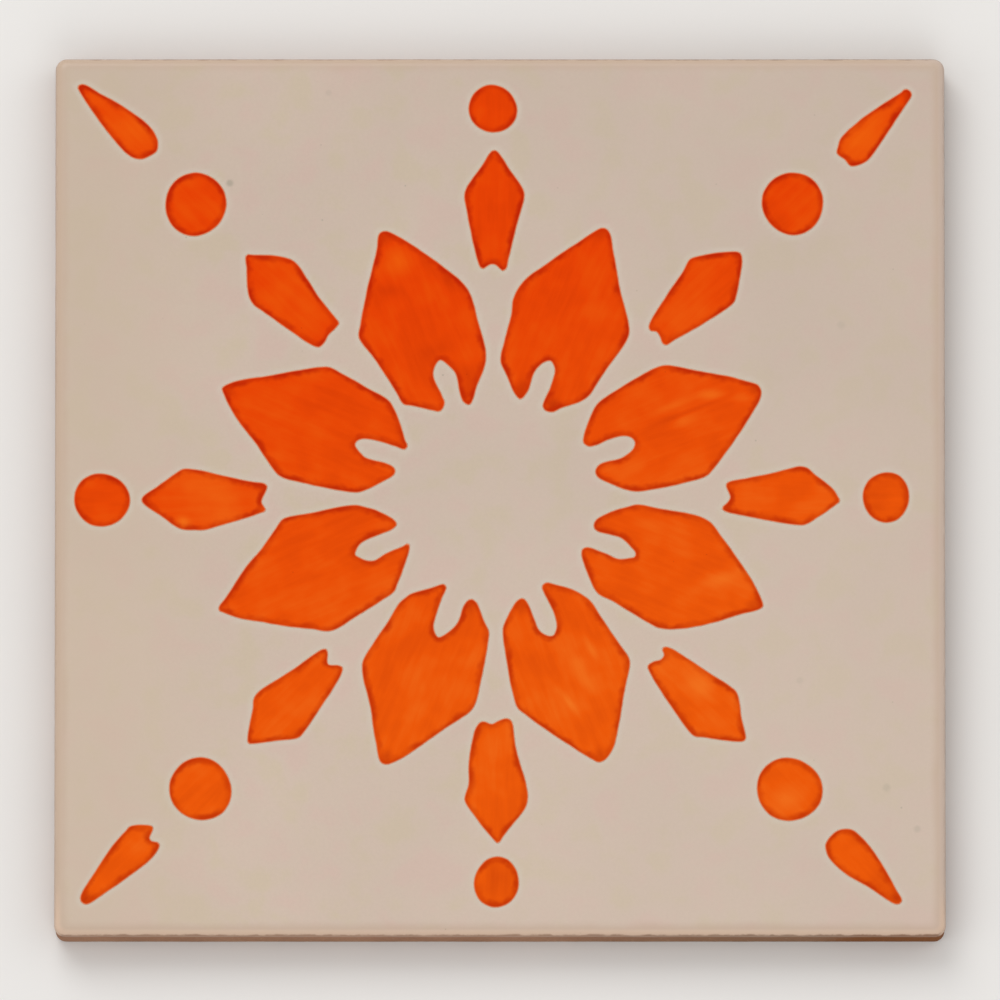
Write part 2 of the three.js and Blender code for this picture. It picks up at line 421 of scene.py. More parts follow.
# Lights: name, azimuth and elevation in degrees, power in watts
LIGHTS = (
    ("key_light", 24, 48, 16),
    ("left_fill", 105, 42, 3.5),
    ("right_fill", -75, 42, 3.5),
    ("lower_fill", 190, 42, 6),
)


def srgb(red, green, blue):
    """A colour read from 0 to 255 on a screen, as the linear colour that a shader takes."""
    channels = []
    for value in (red, green, blue):
        share = value / 255
        channels.append(share / 12.92 if share <= 0.04045 else ((share + 0.055) / 1.055) ** 2.4)
    return (*channels, 1.0)


def on_tile(pixel):
    """A pixel of the photographed face as a place on the tile, in metres."""
    x = (pixel[0] - PHOTO_FACE_CENTRE[0]) * PIXEL
    y = (PHOTO_FACE_CENTRE[1] - pixel[1]) * PIXEL
    return (x, y)


def smoothstep(value, low, high):
    """Runs smoothly from 0 at low to 1 at high."""
    share = np.clip((value - low) / (high - low), 0, 1)
    return share * share * (3 - 2 * share)


def noise_at(points, wavelength, seed, height=1):
    """Smooth noise between about -height and height at plan points, the same on each run."""
    scale = 1 / wavelength
    values = [noise.noise(Vector((x * scale, y * scale, seed))) for x, y in points]
    return height * np.array(values)


def place_looking(name, data, target, azimuth, elevation, distance):
    """A camera or light that looks at a target. Azimuth 0 is +Y, turning towards -X."""
    looker = bpy.data.objects.new(name, data)
    bpy.context.collection.objects.link(looker)
    flat = math.cos(elevation)
    back = Vector((-math.sin(azimuth) * flat, math.cos(azimuth) * flat, math.sin(elevation)))
    looker.location = target + back * distance
    looker.rotation_euler = (-back).to_track_quat("-Z", "Y").to_euler()
    return looker


def make_camera():
    """Looks down on the tile through a long lens, leaning a little towards its lower side."""
    data = bpy.data.cameras.new("camera")
    data.lens = CAMERA_LENS_MM
    data.sensor_width = CAMERA_SENSOR_MM
    distance = TILE_SIDE / TILE_SHARE_OF_PICTURE * CAMERA_LENS_MM / CAMERA_SENSOR_MM
    target = Vector((0, 0, TILE_TOP / 2))
    camera = place_looking("camera", data, target, math.pi, CAMERA_ELEVATION, distance)
    data.clip_start = distance / CAMERA_CLIP_REACH
    data.clip_end = distance * CAMERA_CLIP_REACH
    bpy.context.scene.camera = camera


def make_lights():
    """One large soft square light from the upper left, weaker ones from the other sides."""
    for name, azimuth, elevation, power in LIGHTS:
        data = bpy.data.lights.new(name, "AREA")
        data.shape = "SQUARE"
        data.size = LIGHT_SIZE
        data.energy = power
        angles = (math.radians(azimuth), math.radians(elevation))
        place_looking(name, data, Vector(), *angles, LIGHT_DISTANCE)
    world = bpy.data.worlds.new("surround")
    world.use_nodes = True
    surround = world.node_tree.nodes["Background"]
    surround.inputs["Color"].default_value = (*SURROUND_COLOUR, 1)
    surround.inputs["Strength"].default_value = SURROUND_STRENGTH
    bpy.context.scene.world = world
    bpy.context.scene.view_settings.view_transform = "Standard"


class Finish:
    """A procedural material, built node by node round its one Principled shader."""

    def __init__(self, name):
        self.material = bpy.data.materials.new(name)
        self.material.use_nodes = True
        self.tree = self.material.node_tree
        self.shader = self.tree.nodes["Principled BSDF"]
        coordinates = self.tree.nodes.new("ShaderNodeTexCoord")
        self.place = coordinates.outputs["Object"]

    def put(self, socket, value):
        """Links a socket to another's output, or sets its constant."""
        if isinstance(value, bpy.types.NodeSocket):
            self.tree.links.new(value, socket)
        else:
            socket.default_value = value

    def surface(self, **values):
        """Sets the shader's own sockets, with _ for a space in a name."""
        for name, value in values.items():
            self.put(self.shader.inputs[name.replace("_", " ")], value)

    def add(self, kind, inputs, **settings):
        """A new node with its settings made and its inputs linked or set."""
        node = self.tree.nodes.new(kind)
        for name, value in settings.items():
            setattr(node, name, value)
        for socket, value in inputs.items():
            self.put(node.inputs[socket], value)
        return node

    def math(self, operation, first, second=0.0):
        """One sum on two values."""
        return self.add("ShaderNodeMath", {0: first, 1: second}, operation=operation).outputs[0]

    def times(self, first, second):
        """The product of two values."""
        return self.math("MULTIPLY", first, second)

    def noise(self, wavelength, detail=2.0, roughness=0.5, stretch=(1, 1, 1), place=None):
        """Noise from 0 to 1 with features about a wavelength wide."""
        plan = {"Vector": place or self.place, "Scale": stretch}
        stretched = self.add("ShaderNodeMapping", plan).outputs[0]
        grain = {"Vector": stretched, "Scale": 1 / wavelength, "Detail": detail, "Roughness": roughness}
        return self.add("ShaderNodeTexNoise", grain).outputs["Fac"]

    def between(self, value, low, high, first=0.0, last=1.0, kind="SMOOTHSTEP"):
        """A value's smooth or linear run from first at low to last at high."""
        run = {"Value": value, "From Min": low, "From Max": high, "To Min": first, "To Max": last}
        return self.add("ShaderNodeMapRange", run, interpolation_type=kind).outputs[0]

    def scattered(self, size, far, near, part, low, high):
        """Round marks that fade out from near to far, in the random cells of a high grey."""
        cells = self.add("ShaderNodeTexVoronoi", {"Vector": self.place, "Scale": 1 / size}).outputs
        grey = self.add("ShaderNodeSeparateColor", {0: cells["Color"]}).outputs[part]
        mark = self.between(cells["Distance"], far, near)
        return self.times(mark, self.between(grey, low, high))

    def mix(self, share, first, second):
        """Blends two colours by a share from 0 to 1."""
        node = self.add("ShaderNodeMix", {0: share}, data_type="RGBA")
        colour_inputs = [socket for socket in node.inputs if socket.type == "RGBA"]
        self.put(colour_inputs[0], first)
        self.put(colour_inputs[1], second)
        return next(socket for socket in node.outputs if socket.type == "RGBA")

    def stain(self, colour, share, strength, tint):
        """Lays a tint over a colour by a share times a strength."""
        return self.mix(self.times(share, strength), colour, tint)

    def shade(self, colour, amount):
        """Multiplies a colour by a plain amount."""
        inputs = {0: colour, "Scale": amount}
        return self.add("ShaderNodeVectorMath", inputs, operation="SCALE").outputs[0]

    def attribute(self, name, part="Fac"):
        """What the piece carries under a name: a number, or with part Vector a place."""
        return self.add("ShaderNodeAttribute", {}, attribute_name=name).outputs[part]

    def axis(self, letter):
        """One coordinate of the place on the tile, in metres."""
        return self.add("ShaderNodeSeparateXYZ", {0: self.place}).outputs[letter]

    def distance_to(self, point):
        """How far the place is from a point."""
        inputs = {0: self.place, 1: point}
        return self.add("ShaderNodeVectorMath", inputs, operation="DISTANCE").outputs["Value"]

    def relief(self, height, depth, below=None):
        """A bump of a real depth in metres, on top of another bump if one is given."""
        inputs = {"Strength": 1.0, "Distance": depth, "Height": height}
        if below is not None:
            inputs["Normal"] = below
        return self.add("ShaderNodeBump", inputs).outputs[0]


def glaze_colour(finish, halo):
    """Warm beige with faint pink and straw blotches, paler and greyer beside the paint, and painted light
    that lightens it towards the lower edge.
    """
    beige = srgb(207, 187, 171)
    pink = srgb(209, 184, 170)
    straw = srgb(205, 187, 165)
    blotch = finish.noise(7 * MM, 3, 0.55)
    drift = finish.noise(31 * MM, 2, 0.5)
    colour = finish.mix(finish.between(blotch, 0.50, 0.68), beige, pink)
    colour = finish.mix(finish.between(blotch, 0.50, 0.34), colour, straw)
    colour = finish.shade(colour, finish.between(drift, 0.3, 0.7, 0.98, 1.02))
    grain = finish.noise(0.5 * MM, 3, 0.7)
    colour = finish.shade(colour, finish.between(grain, 0.2, 0.8, 0.98, 1.02))

    # greyer at its right and sandier at its left; painted light makes it lighter towards its lower edge
    # and a shade darker at its upper edge
    to_right = finish.between(finish.axis("X"), -60 * MM, 66 * MM, 0.0, 0.35)
    colour = finish.mix(to_right, colour, srgb(202, 184, 169))
    to_left = finish.between(finish.axis("X"), -36 * MM, -66 * MM, 0.0, 0.6)
    colour = finish.mix(to_left, colour, srgb(202, 182, 161))
    colour = finish.shade(colour, finish.between(finish.axis("Y"), 64 * MM, -64 * MM, 0.98, 1.055))
    return finish.stain(colour, halo, 0.45, srgb(213, 203, 187))


def clay_colour(finish):
    """Brown clay in patches, darker towards the right and scorched at one lower corner."""
    patches = finish.between(finish.noise(14 * MM, 3, 0.6), 0.35, 0.68)
    colour = finish.mix(patches, srgb(164, 122, 95), srgb(150, 108, 82))
    to_right = finish.between(finish.axis("X"), 0.0, 42 * MM, 0.0, 0.85)
    colour = finish.mix(to_right, colour, srgb(138, 101, 74))
    corner = (TILE_SIDE / 2, -TILE_SIDE / 2, 0)
    ragged = finish.between(finish.noise(9 * MM, 3, 0.6), 0.3, 0.7, -3 * MM, 3 * MM)
    from_corner = finish.math("ADD", finish.distance_to(corner), ragged)
    scorched = finish.between(from_corner, 23 * MM, 13 * MM, 0.0, 0.95)
    return finish.mix(scorched, colour, srgb(128, 74, 28))


def glaze_finish():
    """Tin glaze: blotchy beige, thin and tan at the edges, with a painted highlight on the lower and right
    arris and painted shade at its foot, and specks and pinholes.
    """
    finish = Finish("tin_glaze")
    colour = glaze_colour(finish, finish.attribute("halo"))

    # towards the edges the glaze thins over the clay and is tan on the arris; on the tile's lower and
    # right sides the arris is painted lighter instead, as a painted highlight
    edge = finish.attribute("edge_mm")
    ragged = finish.math("SUBTRACT", finish.times(finish.noise(6 * MM, 3, 0.6), 1.2), 0.6)
    band = finish.between(finish.math("ADD", edge, ragged), 2.6, 1.0)
    colour = finish.stain(colour, band, 0.6, srgb(199, 173, 152))
    right_side = finish.between(finish.axis("X"), 62 * MM, 68.8 * MM)
    lower_side = finish.between(finish.axis("Y"), -60 * MM, -68.6 * MM)
    arris = finish.mix(right_side, srgb(204, 179, 157), srgb(208, 186, 170))
    arris = finish.mix(lower_side, arris, srgb(222, 192, 168))
    colour = finish.stain(colour, finish.between(edge, 1.3, 0.5), 0.9, arris)
    colour = finish.mix(finish.between(edge, -0.2, -0.7), colour, srgb(190, 160, 134))

    # it is thinnest at the foot of the arris, where the clay shows through; this brown is darkened and
    # widened as painted shade for the shaded foot of the tile, less so on the left and right sides
    waver = finish.between(finish.noise(2.2 * MM, 3, 0.6), 0.3, 0.7, -0.08, 0.10)
    from_foot = finish.math("ADD", edge, waver)
    foot_top = finish.between(from_foot, 0.42, 0.16)
    foot_end = finish.between(from_foot, -0.9, -0.4)
    foot = finish.times(foot_top, foot_end)
    clay_showing_and_shade = finish.shade(clay_colour(finish), 0.9)
    sideways = finish.math("ABSOLUTE", finish.axis("X"))
    foot_strength = finish.between(sideways, 69.4 * MM, 68.6 * MM, 0.2, 0.85)
    colour = finish.stain(colour, foot, foot_strength, clay_showing_and_shade)

    for x, y, radius, strength in SPECKS:
        centre = (*on_tile((x, y)), GLAZE_TOP)
        speck = finish.between(finish.distance_to(centre), radius * MM, radius * MM * 0.3)
        colour = finish.stain(colour, speck, strength, srgb(150, 146, 128))
    dusty = finish.scattered(3.1 * MM, 0.060, 0.030, "Red", 0.86, 0.90)
    colour = finish.stain(colour, dusty, 0.3, srgb(160, 146, 126))
    pitted = finish.scattered(5.7 * MM, 0.030, 0.012, "Green", 0.80, 0.84)
    colour = finish.stain(colour, pitted, 0.5, srgb(140, 112, 90))

    peel = finish.noise(2.4 * MM, 2, 0.5)
    relief = finish.relief(peel, 0.006 * MM)
    relief = finish.relief(finish.math("SUBTRACT", 1.0, pitted), 0.05 * MM, relief)
    finish.surface(
        Base_Color=colour,
        Roughness=finish.between(finish.noise(4 * MM, 3, 0.6), 0.3, 0.7, 0.32, 0.40),
        Specular_IOR_Level=0.4,
        Normal=relief,
    )
    return finish.material


def paint_finish():
    """Orange stencil paint: redder up the tile and where it pooled at the rim, thin in places."""
    finish = Finish("orange_paint")
    stroke = finish.attribute("stroke", "Vector")
    rim = finish.attribute("rim_mm")
    thin = finish.attribute("thin")
    across = finish.times(finish.axis("X"), 0.33)
    across_and_down = finish.math("SUBTRACT", across, finish.axis("Y"))
    warmth = finish.between(across_and_down, -34 * MM, 36 * MM, kind="LINEAR")
    colour = finish.mix(warmth, srgb(235, 67, 0), srgb(242, 91, 6))

    cloud = finish.noise(6 * MM, 2, 0.5)
    streak = finish.noise(1.3 * MM, 3, 0.55, (0.13, 1, 1), stroke)
    thinness = finish.math("ADD", thin, finish.between(cloud, 0.3, 0.75, -0.14, 0.20))
    thinness = finish.math("ADD", thinness, finish.between(streak, 0.3, 0.72, -0.07, 0.10))
    light = finish.between(thinness, 0.0, 1.0, kind="LINEAR")
    colour = finish.mix(light, colour, finish.mix(warmth, srgb(244, 101, 10), srgb(250, 128, 38)))
    dark = finish.between(thinness, 0.0, -1.0, kind="LINEAR")
    colour = finish.mix(dark, colour, finish.mix(warmth, srgb(186, 40, 0), srgb(192, 54, 4)))

    waver = finish.between(finish.noise(2.6 * MM, 2, 0.6), 0.25, 0.75, -0.25, 0.35)
    from_rim = finish.math("SUBTRACT", rim, waver)
    patchy = finish.between(finish.noise(4.5 * MM, 2, 0.5), 0.35, 0.62, 0.45, 1.0)
    pooled = finish.mix(warmth, srgb(195, 37, 0), srgb(203, 57, 2))
    colour = finish.stain(colour, finish.between(from_rim, 1.35, 0.35), patchy, pooled)

    flecked = finish.scattered(1.3 * MM, 0.10, 0.05, "Red", 0.95, 0.97)
    colour = finish.stain(colour, flecked, 0.35, srgb(160, 48, 8))

    # at its very edge the paint feathers out into the glaze
    feather = PAINT_FEATHER / MM
    colour = finish.mix(finish.between(rim, feather, 0.4 * feather), colour, srgb(228, 126, 78))
    colour = finish.mix(finish.between(rim, 0.7 * feather, 0.02), colour, glaze_colour(finish, 1.0))

    relief = finish.relief(streak, 0.006 * MM)
    finish.surface(
        Base_Color=colour,
        Roughness=finish.between(streak, 0.3, 0.7, 0.30, 0.37),
        Specular_IOR_Level=0.03,
        Normal=relief,
    )
    return finish.material


def clay_finish():
    """Matt brown earthenware with sandy grains, paler and darker patches from the kiln."""
    finish = Finish("bare_clay")
    grain = finish.noise(0.55 * MM, 4, 0.7)
    colour = finish.shade(clay_colour(finish), finish.between(grain, 0.25, 0.75, 0.82, 1.14))
    sandy = finish.scattered(1.1 * MM, 0.26, 0.12, "Red", 0.72, 0.78)
    colour = finish.stain(colour, sandy, 0.45, srgb(188, 154, 126))
    grog = finish.scattered(1.1 * MM, 0.26, 0.12, "Green", 0.86, 0.90)
    colour = finish.stain(colour, grog, 0.6, srgb(84, 54, 40))
    relief = finish.relief(grain, 0.10 * MM)
    relief = finish.relief(sandy, 0.05 * MM, relief)
    finish.surface(
        Base_Color=colour,
        Roughness=finish.between(grain, 0.2, 0.8, 0.80, 0.96),
        Specular_IOR_Level=0.2,
        Normal=relief,
    )
    return finish.material


def floor_finish():
    """A plain pale studio floor, with the faintest unevenness."""
    finish = Finish("floor")
    colour = finish.mix(finish.noise(0.35, 2, 0.5), srgb(238, 236, 233), srgb(242, 240, 238))
    finish.surface(Base_Color=colour, Roughness=0.75)
    return finish.material


def new_piece(name, vertices, faces, flat, hidden, finish):
    """A closed smooth mesh that rides on the tile, with its unfolded map for the finish.

    flat holds each vertex's place on the unfolded map. The faces that hidden names lie
    inside the tile, so they share one small corner of that map."""
    mesh = bpy.data.meshes.new(name)
    mesh.from_pydata([tuple(vertex) for vertex in vertices], [], faces)
    corner_vertices = np.zeros(len(mesh.loops), dtype=int)
    mesh.loops.foreach_get("vertex_index", corner_vertices)
    loop_totals = np.zeros(len(mesh.polygons), dtype=int)
    mesh.polygons.foreach_get("loop_total", loop_totals)
    shown = ~np.asarray(hidden, dtype=bool)
    low = flat.min(axis=0)
    span = (flat.max(axis=0) - low).max()
    spread = (flat - low) / span
    charts = [start + share * spread[corner_vertices] for start, share in (SHOWN_CHART, HIDDEN_CHART)]
    chart = np.where(np.repeat(shown, loop_totals)[:, None], *charts)
    layer = mesh.uv_layers.new(name="OFBake")
    layer.data.foreach_set("uv", chart.astype(np.float32).ravel())
    mesh.polygons.foreach_set("use_smooth", shown)
    mesh.materials.append(finish)
    piece = bpy.data.objects.new(name, mesh)
    bpy.context.collection.objects.link(piece)
    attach(piece, "root")
    turn_outwards(mesh)
    return piece


def turn_outwards(mesh):
    """Points a closed mesh's faces out."""
    work = bmesh.new()
    work.from_mesh(mesh)
    bmesh.ops.recalc_face_normals(work, faces=work.faces)
    work.to_mesh(mesh)
    work.free()


def set_attribute(piece, name, values):
    """One number for each vertex, for the finish to read."""
    attribute = piece.data.attributes.new(name, "FLOAT", "POINT")
    attribute.data.foreach_set("value", np.asarray(values, dtype=np.float32))


def grid_points(lines):
    """The crossings of a square grid's lines, row by row."""
    columns, rows = np.meshgrid(lines, lines)
    return np.column_stack([columns.ravel(), rows.ravel()])


def grid_rim(count):
    """The vertices round a square grid's rim, counterclockwise from its first."""
    bottom = list(range(count))
    right = [row * count + count - 1 for row in range(1, count)]
    top = [(count - 1) * count + column for column in range(count - 2, -1, -1)]
    left = [row * count for row in range(count - 2, 0, -1)]
    return bottom + right + top + left


def round_square(rim, half, radius):
    """Maps points on the rim of the square from -1 to 1 onto a round-cornered square."""
    core = half - radius
    x, y = rim[:, 0] * half, rim[:, 1] * half
    past_x = np.clip(np.abs(x) - core, 0, None) / radius
    past_y = np.clip(np.abs(y) - core, 0, None) / radius
    angle = np.where(past_x >= past_y, past_y, 2 - past_x) * (math.pi / 4)
    round_x = np.sign(x) * (core + radius * np.cos(angle))
    round_y = np.sign(y) * (core + radius * np.sin(angle))
    corner_x = np.where(np.abs(x) <= core, x, round_x)
    corner_y = np.where(np.abs(y) <= core, y, round_y)
    return corner_x, corner_y


def shell(lines, half, height, rings, shown_rings):
    """A closed body: a square height field, rings of points round it, and a plain cap.

    lines are the grid's lines from -1 to 1, half is half the grid's side and height gives
    z at plan points. Each ring is an inset from the tile's side, a z and a corner radius.
    Returns vertices, faces, unfolded places, hidden flags and each vertex's inset."""
    count = len(lines)
    unit = grid_points(lines)
    plan = unit * half
    vertices = [np.column_stack([plan, height(plan)])]
    flats = [plan]
    insets = [TILE_SIDE / 2 - np.abs(plan).max(axis=1)]
    faces = []
    for row in range(count - 1):
        for column in range(count - 1):
            first = row * count + column
            faces.append((first, first + 1, first + count + 1, first + count))
    hidden = [False] * len(faces)

    rim_ids = grid_rim(count)
    rim = unit[rim_ids]
    before_ids = np.array(rim_ids)
    before = vertices[0][rim_ids]
    reach = half
    start = count * count
    for number, (inset, z, radius) in enumerate(rings):
        x, y = round_square(rim, TILE_SIDE / 2, radius)
        length = np.maximum(np.abs(x), np.abs(y))
        share = (length - inset) / length
        ring = np.column_stack([x * share, y * share, np.broadcast_to(z, x.shape)])
        reach += float(np.median(np.linalg.norm(ring - before, axis=1)))
        ids = start + np.arange(len(rim))
        for i in range(len(rim)):
            j = (i + 1) % len(rim)
            faces.append((before_ids[i], ids[i], ids[j], before_ids[j]))
            hidden.append(number >= shown_rings)
        vertices.append(ring)
        flats.append(rim * reach)
        insets.append(np.broadcast_to(inset, x.shape))
        before_ids, before = ids, ring
        start += len(rim)

    middle = start
    vertices.append(np.array([[0.0, 0.0, float(np.mean(before[:, 2]))]]))
    flats.append(np.zeros((1, 2)))
    insets.append(np.array([TILE_SIDE / 2]))
    for i in range(len(rim)):
        faces.append((before_ids[i], middle, before_ids[(i + 1) % len(rim)]))
        hidden.append(True)
    flat = np.vstack(flats)
    return np.vstack(vertices), faces, flat, hidden, np.concatenate(insets)


def glaze_height(plan):
    """The glazed face's gentle swell, as glaze settles in the kiln."""
    swell = noise_at(plan, *SWELL_NOISE) + noise_at(plan, *RIPPLE_NOISE)
    return GLAZE_TOP + GLAZE_SWELL * np.clip(swell, -1, 1)


def glaze_end_height(rim):
    """Where the glaze stops down the sides: an uneven line, with a few short runs."""
    along = np.arange(len(rim)) / len(rim)
    at_side = rim * TILE_SIDE / 2
    wave = noise_at(at_side, *GLAZE_END_NOISE) + noise_at(at_side, *GLAZE_END_DETAIL)
    end = GLAZE_END + GLAZE_END_WAVE * wave
    for share, half_width, length in GLAZE_RUNS:
        away = np.abs((along - share + 0.5) % 1 - 0.5) * 4 * TILE_SIDE
        end = end - length * np.exp(-((away / half_width) ** 2))
    return end


def glaze_lines():
    """Grid lines of the glazed face, closer together towards its edges."""
    middle = np.linspace(-GLAZE_MIDDLE_SHARE, GLAZE_MIDDLE_SHARE, GLAZE_MIDDLE_LINES)
    border = np.linspace(GLAZE_MIDDLE_SHARE, 1.0, GLAZE_BORDER_LINES + 1)[1:]
    return np.concatenate([-border[::-1], middle, border])


def make_glaze(finish, halo_at):
    """The glaze's skin: the swelling face, the rolled arris, and the uneven end below it."""
    lines = glaze_lines()
    half = TILE_SIDE / 2 - GLAZE_GRID_INSET
    rim = grid_points(lines)[grid_rim(len(lines))]
    rim_top = glaze_height(rim * half)
    end = glaze_end_height(rim)
    side_noise = noise_at(rim * TILE_SIDE / 2, *GLAZE_SIDE_NOISE)
    side = GLAZE_SIDE_INSET + GLAZE_SIDE_WAVE * (1 + side_noise) / 2
    rings = [(GLAZE_GRID_INSET - GLAZE_RIM_STEP, rim_top - GLAZE_RIM_DIP, FACE_CORNER_RADIUS)]
    for step in range(ARRIS_STEPS + 1):
        share = step / ARRIS_STEPS
        angle = (1 - share) * math.pi / 2
        inset = side + ARRIS_RADIUS * (1 - math.cos(angle))
        level = ARRIS_FOOT + (rim_top - ARRIS_FOOT - ARRIS_DIP) * math.sin(angle)
        radius = FACE_CORNER_RADIUS + (SIDE_CORNER_RADIUS - FACE_CORNER_RADIUS) * share
        rings.append((inset, level, radius))
    for share in GLAZE_SIDE_SHARES:
        rings.append((side, ARRIS_FOOT + (end - ARRIS_FOOT) * share, SIDE_CORNER_RADIUS))
    for share, inset, rise in GLAZE_BEAD_RINGS:
        rings.append((side * share + inset, end + rise, SIDE_CORNER_RADIUS))
    shown_rings = len(rings)
    rings.append((GLAZE_INNER_INSET, end + GLAZE_INNER_RISE, SIDE_CORNER_RADIUS))
    rings.extend(GLAZE_INNER_RINGS)
    vertices, faces, flat, hidden, insets = shell(lines, half, glaze_height, rings, shown_rings)
    piece = new_piece("glaze_skin", vertices, faces, flat, hidden, finish)
    drop = np.clip(ARRIS_FOOT - vertices[:, 2], 0, None)
    set_attribute(piece, "edge_mm", (insets - drop) / MM)
    set_attribute(piece, "halo", halo_at(vertices[:, :2]))
    return piece


def key_edges():
    """The mouths of the mortar keys along one axis, as pairs of places."""
    field = TILE_SIDE - 2 * BACK_RIM
    mouth = (field - (KEYS_PER_SIDE - 1) * KEY_RIB) / KEYS_PER_SIDE
    starts = [-field / 2 + number * (mouth + KEY_RIB) for number in range(KEYS_PER_SIDE)]
    return [(start, start + mouth) for start in starts]


def back_lines(half):
    """Grid lines of the back: close together at each key's walls, wide apart between."""
    places = {-half, half}
    for low, high in key_edges():
        for step in KEY_WALL_STEPS:
            places.add(low + step * KEY_WALL)
            places.add(high - step * KEY_WALL)
        for share in KEY_FLOOR_SHARES:
            places.add(low + (high - low) * share)
        places.add(high + KEY_RIB / 2)
    outer = TILE_SIDE / 2 - BACK_RIM
    for share in BACK_RIM_SHARES:
        places.add(outer + (half - outer) * share)
        places.add(-outer - (half - outer) * share)
    ordered = sorted(place for place in places if abs(place) <= half)
    kept = [ordered[0]]
    for place in ordered[1:]:
        if place - kept[-1] > SMALLEST_GRID_STEP:
            kept.append(place)
    return np.array(kept) / half


def inside_keys(values):
    """How far a place lies inside the nearest key's mouth along one axis."""
    depths = [np.minimum(values - low, high - values) for low, high in key_edges()]
    return np.max(depths, axis=0)


def back_height(plan):
    """The back's relief: flat ribs and rim, and soft-edged keys pressed into it."""
    inside = np.minimum(inside_keys(plan[:, 0]), inside_keys(plan[:, 1]))
    pressed = smoothstep(inside, -KEY_SOFTENING, KEY_WALL + KEY_SOFTENING)
    rough = BACK_ROUGHNESS * (1 + noise_at(plan, *BACK_NOISE))
    floor_rough = KEY_FLOOR_ROUGHNESS * noise_at(plan, *KEY_FLOOR_NOISE)
    return rough + pressed * (KEY_DEPTH + floor_rough)


def make_clay(finish):
    """The clay body: keyed back, softened lower edge, slightly uneven sides, plain top."""
    half = TILE_SIDE / 2 - BACK_GRID_INSET
    lines = back_lines(half)
    rim = grid_points(lines)[grid_rim(len(lines))]
    at_side = rim * TILE_SIDE / 2
    wave = CLAY_EDGE_WAVE * (1 + noise_at(at_side, *CLAY_EDGE_NOISE))
    rings = [
        (inset, level + wave * share, CLAY_CORNER_RADIUS) for inset, level, share in CLAY_EDGE_RINGS
    ]
    wavelength, seed = CLAY_SIDE_NOISE
    for number, level in enumerate(CLAY_SIDE_LEVELS_MM):
        uneven = CLAY_SIDE_ROUGHNESS * (1 + noise_at(at_side, wavelength, seed + number))
        rings.append((CLAY_SIDE_INSET + uneven, level * MM, CLAY_CORNER_RADIUS))
    shown_rings = len(rings)
    rings.extend(CLAY_TOP_RINGS)
    vertices, faces, flat, hidden, _ = shell(lines, half, back_height, rings, shown_rings)
    return new_piece("clay_body", vertices, faces, flat, hidden, finish)


def twice_area(ring):
    """Twice the area in an outline, negative where it runs the other way round."""
    following = np.roll(ring, -1, axis=0)
    return np.sum(ring[:, 0] * following[:, 1] - following[:, 0] * ring[:, 1])


def right_of(directions):
    """Unit vectors to the right of directions, so outwards where an outline runs counterclockwise."""
    unit = directions / np.linalg.norm(directions, axis=1)[:, None]
    return np.column_stack([unit[:, 1], -unit[:, 0]])


def drawn_in(points, soft_edge):
    """Moves the corners of a closed outline inwards by the width of the soft edge."""
    ring = np.array(points, dtype=float)
    ahead = np.roll(ring, -1, axis=0) - ring
    ahead /= np.linalg.norm(ahead, axis=1)[:, None]
    outward = right_of(ahead + np.roll(ahead, 1, axis=0)) * math.copysign(1, twice_area(ring))
    return ring - soft_edge * outward


def blend(first, last, place, low, high):
    """The value at a place on the straight run from first at low to last at high."""
    return first + (last - first) * ((place - low) / (high - low))


def smooth_outline(points):
    """A closed curve through the points, as evenly spaced places counterclockwise."""
    ring = np.array(points, dtype=float)
    count = len(ring)
    dense = []
    for i in range(count):
        a, b, c, d = (ring[(i + shift) % count] for shift in (-1, 0, 1, 2))
        at_b = math.sqrt(np.linalg.norm(b - a))
        at_c = at_b + math.sqrt(np.linalg.norm(c - b))
        at_d = at_c + math.sqrt(np.linalg.norm(d - c))
        for t in np.linspace(at_b, at_c, CURVE_SAMPLES, endpoint=False):
            bc = blend(b, c, t, at_b, at_c)
            abc = blend(blend(a, b, t, 0, at_b), bc, t, 0, at_c)
            bcd = blend(bc, blend(c, d, t, at_c, at_d), t, at_b, at_d)
            dense.append(blend(abc, bcd, t, at_b, at_c))
    dense = np.array(dense)
    dense = np.vstack([dense, dense[:1]])
    along = np.concatenate([[0], np.cumsum(np.linalg.norm(np.diff(dense, axis=0), axis=1))])
    steps = max(FEWEST_RIM_POINTS, round(along[-1] / PAINT_STEP))
    wanted = np.linspace(0, along[-1], steps, endpoint=False)
    even = np.column_stack([np.interp(wanted, along, dense[:, axis]) for axis in (0, 1)])
    return even if twice_area(even) > 0 else even[::-1]


def hand_cut(outline):
    """Lets an outline waver a little, and takes in the feathered edge outside it."""
    outward = right_of(np.roll(outline, -1, axis=0) - np.roll(outline, 1, axis=0))
    waver = noise_at(outline, *CUT_NOISE) + noise_at(outline, *CUT_DETAIL)
    return outline + outward * (PAINT_FEATHER / 2 + PAINT_WOBBLE * waver)[:, None]


def distances(points, outline):
    """Each point's distance to an outline, and whether it lies inside."""
    step = np.roll(outline, -1, axis=0) - outline
    lengths = np.sum(step * step, axis=1)
    nearest = np.full(len(points), np.inf)
    crossings = np.zeros(len(points), dtype=int)
    for (sx, sy), (dx, dy), length in zip(outline, step, lengths):
        px, py = points[:, 0] - sx, points[:, 1] - sy
        share = np.clip((px * dx + py * dy) / length, 0, 1)
        nearest = np.minimum(nearest, np.hypot(px - share * dx, py - share * dy))
        if dy == 0:
            continue
        spans = (py >= min(0, dy)) & (py < max(0, dy))
        crossings += spans & (px < py * dx / dy)
    return nearest, crossings % 2 == 1


def inner_points(outline):
    """Evenly packed points inside an outline, clear of its rim."""
    low, high = outline.min(axis=0), outline.max(axis=0)
    points = []
    for row, y in enumerate(np.arange(low[1], high[1], PAINT_MESH * math.sqrt(3) / 2)):
        shift = PAINT_MESH / 2 * (row % 2)
        points.extend((x, y) for x in np.arange(low[0] + shift, high[0], PAINT_MESH))
    points = np.array(points)
    away, inside = distances(points, outline)
    return points[inside & (away > PAINT_MESH_CLEARANCE)]


